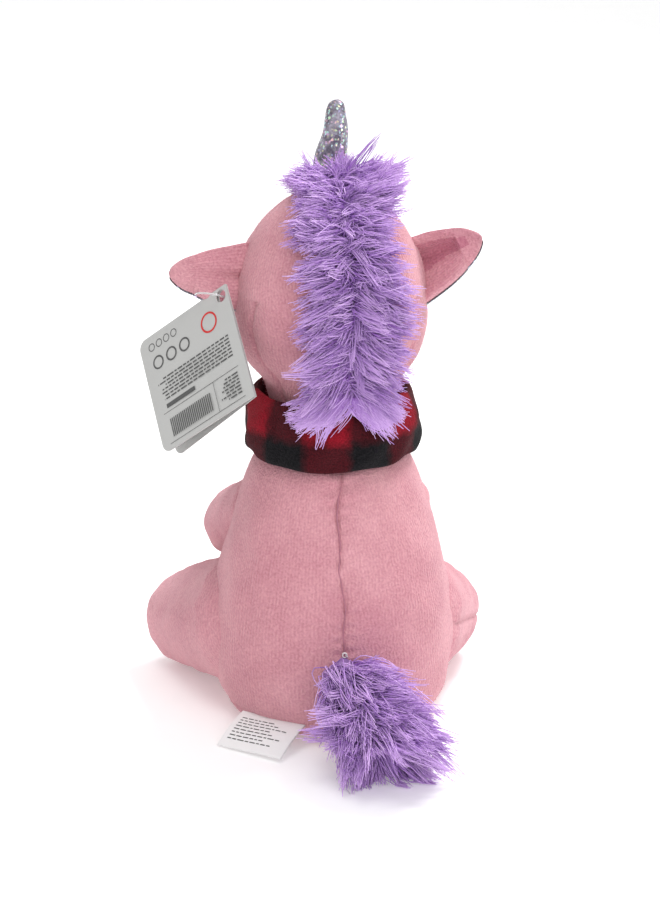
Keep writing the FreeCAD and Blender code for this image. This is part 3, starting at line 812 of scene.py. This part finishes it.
def parting_tufts(rng):
    """Short curled locks along the parting."""
    total, per_lock = 150, 11
    phi = np.radians(rng.uniform(-5, 138, total))
    x = parting(phi) + rng.normal(0, 1.4, total)
    point, out, down = crest_frame(phi, x)
    aim = down * rng.uniform(-0.3, 0.9, (total, 1)) + rng.normal(0, 0.42, (total, 3))
    paths = lock_paths(rng, point, out * 0.9, aim, rng.uniform(8, 14, total), per_lock, 0.9, 0.4)
    tone = np.repeat(rng.normal(-0.02, 0.14, total), per_lock)
    strands("mane_parting", paths, STRAND_RADIUS, tone, "head")


def tail():
    """Plump tuft that hangs back and to the toy's right; fibres leave a short bent core on all sides."""
    rng = np.random.default_rng(9)
    total = 560
    core = curve([(0, 49.5, 34), (-3, 60, 31.5), (-7, 70, 26), (-9.5, 77, 21)], 100)
    at = (rng.random(total) ** 0.8 * 99).astype(int)
    root = core[at] + rng.normal(0, 0.8, (total, 3)) * vec(1, 0.3, 1)
    forward = unit(np.gradient(core, axis=0))[at]
    around = unit(np.cross(forward, rng.normal(size=(total, 3))))
    bias = vec(-0.22, 0.20, -0.28)
    lift = around * 0.75 + forward * 0.45
    aim = around * 0.55 + forward * rng.uniform(0.05, 0.6, (total, 1)) + bias + rng.normal(0, 0.1, (total, 3))
    reach = unit(lift * 0.5 + aim) @ unit(vec(-0.55, 0.55, -0.6))
    length = (15 + 8 * reach) * rng.uniform(0.8, 1.12, total)
    strays = rng.random(total) < 0.03
    aim[strays] = vec(0.9, 0.2, 0.05) + rng.normal(0, 0.15, (strays.sum(), 3))
    paths = lock_paths(rng, root, lift, aim, length, TAIL_PER_LOCK, 1.2, 0.36, 7)
    paths[..., 2] = np.maximum(paths[..., 2], 0.7 + 0.5 * rng.random((len(paths), 1)))
    paths[..., 1] = np.clip(paths[..., 1], 48.6, 108)
    tone = np.repeat(rng.normal(0.0, 0.13, total), TAIL_PER_LOCK)
    tone = tone + rng.normal(0, 0.09, total * TAIL_PER_LOCK)
    half = len(paths) // 2
    for name, part in (("tail_locks", slice(0, half)), ("tail_locks_outer", slice(half, None))):
        locks = strands(name, paths[part], 0.25, tone[part], "tail")
        if name == "tail_locks":
            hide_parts("tail_pile")


# Scarf

def scarf_band():
    """Folded fleece strip round the neck; each row is one cut through the strip."""
    cuts, around = 44, 360
    theta = turn(around)
    section = curve([(31.3, 113.5), (32.8, 111.4), (34.6, 112.4), (35.4, 117), (35.0, 123), (34.2, 129),
                     (32.6, 134.5), (31.0, 136.6), (29.4, 135.8), (29.0, 130), (29.8, 122), (31.3, 113.5)],
                    cuts)[:-1]
    r, z = section[:, :1], section[:, 1:]
    points = np.stack([r * np.cos(theta), r * np.sin(theta), z + 0 * theta], -1)
    out = np.stack([np.cos(theta), np.sin(theta), 0 * theta], -1)
    outer = ((r - 31) / 4).clip(0, 1)
    fold = 0.7 * np.sin(theta * 5 + z / 5) + 0.5 * np.sin(theta * 11 - z / 3.1) + 0.5 * lumps(points, 16, 61)
    points = points + out * (fold * outer * 0.8)[..., None]
    edge = 0.8 * np.sin(theta * 3 + 0.7) + 0.4 * np.sin(theta * 8)
    points[..., 2] += edge * np.where(z > 125, 0.7, 0.9)
    loop = np.concatenate([points, points[:1]])
    loop = np.swapaxes(loop, 0, 1)
    loop = np.concatenate([loop, loop[:1]])
    arc = (np.concatenate([theta, [2 * math.pi]]) * 33)[:, None] + 0 * loop[..., 0]
    height = loop[..., 2]
    obj = grid("scarf_wrap", loop[:, :-1], M["plaid"], caps=False,
               uv=np.stack([arc, height], -1))
    obj.data.validate()
    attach(obj, "torso")
    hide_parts("scarf_band")
    nap = fuzz("scarf_nap", obj, 0.5, 0.8, M["scarf_fuzz"], 13, lean=0.8,
               keep=lambda p: np.hypot(p[:, 0], p[:, 1]) > 32)
    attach(nap, "torso")


def scarf_knot():
    direction = ball(50, 80, 0.05)
    raw = vec(0, -41, 121.5) + direction * vec(10, 9, 9.4)
    crease = 0.7 * np.sin(direction[..., 0] * 7 + direction[..., 2] * 5) + 0.4 * lumps(raw, 7, 71)
    points = raw + direction * crease[..., None]
    knot = grid("scarf_knot_fold", points, M["plaid"], uv=round_uv(points))
    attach(knot, "torso")
    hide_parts("scarf_knot")


def scarf_end(sign):
    """Hanging end, folded lengthwise, with a cut fringe."""
    name = "scarf_end_" + ("left" if sign > 0 else "right")
    length, width, fingers = SCARF_END
    down = vec(0, -math.sin(math.radians(10)), -math.cos(math.radians(10)))
    front = vec(0, -math.cos(math.radians(10)), math.sin(math.radians(10)))
    top = vec(*SCARF_HINGE) * vec(sign, 1, 1)
    points, faces, corners = [], [], []

    def strip(x0, x1, s0, s1, rows, cols):
        base = len(points)
        for face_side in (1, -1):
            for s in np.linspace(s0, s1, rows):
                for x in np.linspace(x0, x1, cols):
                    sway = 0.6 + 0.7 * math.sin(x * 0.45 + sign) + 0.6 * math.sin(s / 9)
                    squeeze = 0.72 + 0.28 * min(1, s / 12)
                    half = 1.15 * (1 - (abs(x) / (width / 2)) ** 6 * 0.5)
                    points.append(top + vec(x * squeeze, 0, 0) + down * s + front * (sway + face_side * half))
        one = rows * cols
        for i in range(rows - 1):
            for j in range(cols - 1):
                q = [base + i * cols + j, base + i * cols + j + 1, base + (i + 1) * cols + j + 1,
                     base + (i + 1) * cols + j]
                faces.extend([q, [n + one for n in reversed(q)]])
        rim = [base + j for j in range(cols)] + [base + i * cols + cols - 1 for i in range(1, rows)]
        rim += [base + (rows - 1) * cols + j for j in range(cols - 2, -1, -1)]
        rim += [base + i * cols for i in range(rows - 2, 0, -1)]
        for a, b in zip(rim, rim[1:] + rim[:1]):
            faces.append([b, a, a + one, b + one])

    strip(-width / 2, width / 2, 0, length - 8, 34, 16)
    for n in range(fingers):
        x0 = -width / 2 + width * n / fingers
        strip(x0 + 0.3, x0 + width / fingers - 0.3, length - 8.2, length, 8, 4)
    piece = build(name + "_cloth", points, faces, M["plaid"])
    co = np.array(points)
    for p in piece.data.polygons:
        for n in p.vertices:
            corners.append((co[n][0] * MM, (co[n] - top) @ down * MM))
    set_uv(piece, corners)
    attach(piece, name)
    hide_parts(name)


# Tag and label

def tag_axes(angle):
    fold = unit(TAG_FOLD)
    out = unit(vec(*TAG_TOP) - fold * (vec(*TAG_TOP) @ fold))
    normal = unit(np.cross(out, fold))
    c, s = math.cos(math.radians(angle)), math.sin(math.radians(angle))
    return fold, out * c + np.cross(fold, out) * s, normal * c + np.cross(fold, normal) * s


def card_outline(side, radius):
    """Square from (0, 0) with two rounded corners, sharp along the fold."""
    line = [(0, 0), (side - radius, 0)]
    line += [(side - radius + radius * math.sin(a), radius - radius * math.cos(a))
             for a in np.linspace(0.2, 1.5, 7)]
    line += [(side, side - radius)]
    line += [(side - radius + radius * math.cos(a), side - radius + radius * math.sin(a))
             for a in np.linspace(0.1, 1.5, 7)]
    return line + [(0, side)]


def card_place(axes, u, w, level):
    """Point on a slightly bent leaf, u out from the fold and w along it, level above its back."""
    fold, out, normal = axes
    bend = 0.9 * math.sin(u / TAG_SIDE * 2.6) * (w / TAG_SIDE) ** 2
    return vec(*TAG_CORNER) + out * u + fold * w + normal * (level + bend)


def card_leaf(name, angle, offset, body, node):
    """One leaf: its outline is joined to its punched hole by a cut, so that each side is one face."""
    axes = tag_axes(angle)
    outline = np.array(card_outline(TAG_SIDE, TAG_CORNER_RADIUS))
    edge, radius = TAG_HOLE
    hole = np.array([(edge + radius * math.cos(a), edge + radius * math.sin(a))
                     for a in np.linspace(-2.36, 3.92, 25)[:-1]])
    flat = np.vstack([outline, outline[:1], hole, hole[:1]])
    points = []
    for level in (offset, offset + TAG_THICK):
        points += [card_place(axes, u, w, level) for u, w in flat]
    n, m = len(outline), len(hole)
    loop = list(range(n + 1)) + [n + 1 + (m - i) % m if i else n + 1 for i in range(m)] + [n + 1 + m]
    total = len(flat)
    top = [i + total for i in loop]
    faces = [top, loop[::-1]]
    rim = list(range(n))
    faces += [[a, b, b + total, a + total] for a, b in zip(rim, rim[1:] + rim[:1])]
    inner = [n + 1 + i for i in range(m)]
    faces += [[b, a, a + total, b + total] for a, b in zip(inner, inner[1:] + inner[:1])]
    leaf = build(name, points, faces, M["card"])
    leaf.data.polygons.foreach_set("use_smooth", [False] * len(leaf.data.polygons))
    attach(leaf, body)
    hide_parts(node)


def print_patches():
    """Generic print on the front leaf: rings, bars and a block of even stripes."""
    axes = tag_axes(0)
    level = 0.15 + 0.4 + 0.06

    def place(u, w):
        return card_place(axes, u, w, level)

    def bars(name, boxes):
        points, faces = [], []
        for u0, w0, u1, w1 in boxes:
            faces.append(list(range(len(points), len(points) + 4)))
            points.extend([place(u0, w0), place(u1, w0), place(u1, w1), place(u0, w1)])
        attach(build(name, points, faces, M["grey_ink"]), "tag_front")

    def rings(name, marks, material):
        points, faces = [], []
        for u, w, radius, line in marks:
            base, steps = len(points), 40
            for k in range(steps):
                a = 2 * math.pi * k / steps
                for r in (radius - line, radius):
                    points.append(place(u + r * math.cos(a), w + r * math.sin(a)))
            for k in range(steps):
                q = [2 * k, 2 * k + 1, (2 * k + 3) % (2 * steps), (2 * k + 2) % (2 * steps)]
                faces.append([base + i for i in q])
        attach(build(name, points, faces, material), "tag_front")

    rng = np.random.default_rng(17)
    text = []
    rows = [(20.0 + 1.45 * k, 5, 45) for k in range(7)] + [(36.5 + 1.4 * k, 5, 15.5) for k in range(7)]
    for w, u, end in rows:
        end -= rng.uniform(0, 4)
        while u < end:
            step = rng.uniform(1.0, 3.6)
            text.append((u, w, min(u + step, end), w + 0.62))
            u += step + 0.6
    bars("tag_lines", text)
    bars("tag_frame", [(4, 34.4, 45.5, 34.6), (17.6, 34.6, 17.8, 47.5), (4, 47.5, 45.5, 47.7)])
    bars("tag_stripes", [(20.5 + k, 37.8, 21.0 + k, 45.6) for k in range(23)])
    bars("tag_wide_bar", [(27, 31.2, 43, 33.0)])
    rings("tag_rings", [(31 + 4.2 * k, 5.0, 1.7, 0.35) for k in range(4)], M["grey_ink"])
    rings("tag_big_rings", [(27 + 7.5 * k, 12.5, 2.9, 0.7) for k in range(3)], M["grey_ink"])
    rings("tag_red_ring", [(12.5, 10.5, 4.3, 0.8)], M["red_ink"])


def tag():
    card_leaf("tag_front_card", 0, 0.15, "tag_front", "tag_front_leaf")
    card_leaf("tag_back_card", TAG_OPEN, -0.55, "tag_back", "tag_back_leaf")
    print_patches()
    fold, out, normal = tag_axes(0)
    hole = vec(*TAG_CORNER) + (fold + out) * TAG_HOLE[0]
    side = vec(0.69, -0.69, -0.17)
    side = unit(side - normal * (side @ normal))
    centre = hole + side * LOOP_RADIUS
    a = np.linspace(0, 2 * math.pi, 49)[:-1]
    ring = centre + LOOP_RADIUS * circle(side, normal, a)
    loop = tube("tag_string", np.vstack([ring, ring[:1]]), 0.4, M["nylon"], 8)
    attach(loop, "ear_left")
    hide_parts("tag_loop")


def label():
    """Folded satin tape, a little curled, with plain printed lines."""
    azimuth, fall = math.radians(LABEL_AZIMUTH), math.radians(LABEL_DROOP)
    out = vec(math.cos(azimuth), math.sin(azimuth), 0)
    along = vec(-math.sin(azimuth), math.cos(azimuth), 0)
    start = out * 44.6 + vec(0, 0, 8.6)
    width, length = LABEL_WIDTH, LABEL_LENGTH

    def place(u, s, level):
        droop = -s * math.sin(fall) + 1.0 * math.sin(s / length * 3.0) + 0.5 * math.sin(u / 9)
        return start + along * u + out * s * math.cos(fall) + vec(0, 0, droop + level)

    rows, cols = 24, 30
    u = np.linspace(-width / 2, width / 2, cols)
    s = np.linspace(-1, length, rows)
    loop = [[place(x, y, 0.35) for x in u] for y in s] + [[place(x, length + 0.3, 0.1) for x in u]]
    loop += [[place(x, y, -0.15) for x in u] for y in s[::-1]]
    points = np.array(loop)
    total = len(loop)
    uv = np.stack(np.meshgrid(u, np.linspace(0, 2 * length, total)), -1)
    tape = grid("label_tape", points[:, ::-1], M["satin"], wrap=False, caps=False, uv=uv)
    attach(tape, "label")
    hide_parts("care_label")
    rng = np.random.default_rng(23)
    corners, faces = [], []
    for k in range(8):
        y = 3.0 + k * 1.7
        x = -12.5
        while x < 3 + (k % 3) * 3:
            step = rng.uniform(1.0, 3.0)
            base = len(corners)
            corners.extend([place(x, y, 0.42), place(x + step, y, 0.42), place(x + step, y + 0.5, 0.42),
                            place(x, y + 0.5, 0.42)])
            faces.append([base, base + 3, base + 2, base + 1])
            x += step + 0.6
    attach(build("label_lines", corners, faces, M["grey_ink"]), "label")


# Stage, light and camera

def area_light(name, place, target, size, power):
    data = bpy.data.lights.new(name, "AREA")
    data.shape, data.size, data.energy = "DISK", size, power
    light = bpy.data.objects.new(name, data)
    light.location = place
    light.rotation_euler = (Vector(target) - Vector(place)).to_track_quat("-Z", "Y").to_euler()
    bpy.context.scene.collection.objects.link(light)


def backdrop_material():
    """White paper that glows a little, so that it stays white away from the lamps."""
    material, _, _ = shader("backdrop_white", Base_Color=rgba((0.92, 0.92, 0.92)), Roughness=1.0,
                            Specular_IOR_Level=0.0, Emission_Color=rgba((1, 1, 1)), Emission_Strength=0.22)
    return material


def stage():
    """Paper sweep: a floor that bends up into a wall in front of the toy."""
    bend = [(-1.6 - 0.9 * math.sin(a), 0.9 - 0.9 * math.cos(a)) for a in np.linspace(0, math.pi / 2, 16)]
    line = [(4.0, 0.0)] + bend + [(-2.5, 4.0)]
    points = [(x, y, z) for y, z in line for x in (-4.0, 4.0)]
    faces = [(2 * i, 2 * i + 1, 2 * i + 3, 2 * i + 2) for i in range(len(line) - 1)]
    mesh = bpy.data.meshes.new("floor")
    mesh.from_pydata(points, [], faces)
    floor = bpy.data.objects.new("floor", mesh)
    mesh.materials.append(backdrop_material())
    bpy.context.scene.collection.objects.link(floor)
    world = bpy.data.worlds.new("studio")
    world.use_nodes = True
    world.node_tree.nodes["Background"].inputs["Color"].default_value = (1, 1, 1, 1)
    world.node_tree.nodes["Background"].inputs["Strength"].default_value = 0.56
    scene = bpy.context.scene
    scene.world = world
    scene.view_settings.view_transform = "Standard"
    area_light("key", (-0.55, -0.5, 1.2), (0, 0, 0.1), 0.45, 14.0)
    area_light("fill", (-0.4, 1.1, 0.8), (0, 0, 0.12), 0.9, 4.4)
    area_light("top", (0.25, 0.35, 1.6), (0, 0, 0.1), 0.8, 6.0)


def camera():
    """Portrait view from behind and a little above, from one metre."""
    distance, azimuth, elevation = 1.0, math.radians(5), math.radians(18)
    target = Vector((0.0008, 0, 0.1096))
    level = math.cos(elevation)
    out = Vector((math.sin(azimuth) * level, math.cos(azimuth) * level, math.sin(elevation)))
    data = bpy.data.cameras.new("camera")
    data.sensor_fit = "VERTICAL"
    data.sensor_height = 24
    data.lens = 66.4
    obj = bpy.data.objects.new("camera", data)
    obj.location = target + out * distance
    obj.rotation_euler = (-out).to_track_quat("-Z", "Y").to_euler()
    bpy.context.scene.collection.objects.link(obj)
    bpy.context.scene.camera = obj


def main():
    torso()
    for name in LEGS:
        leg(name)
    head()
    horn()
    ear(1)
    ear(-1)
    mane()
    tail()
    scarf_band()
    scarf_knot()
    scarf_end(1)
    scarf_end(-1)
    tag()
    label()
    stage()
    camera()


main()
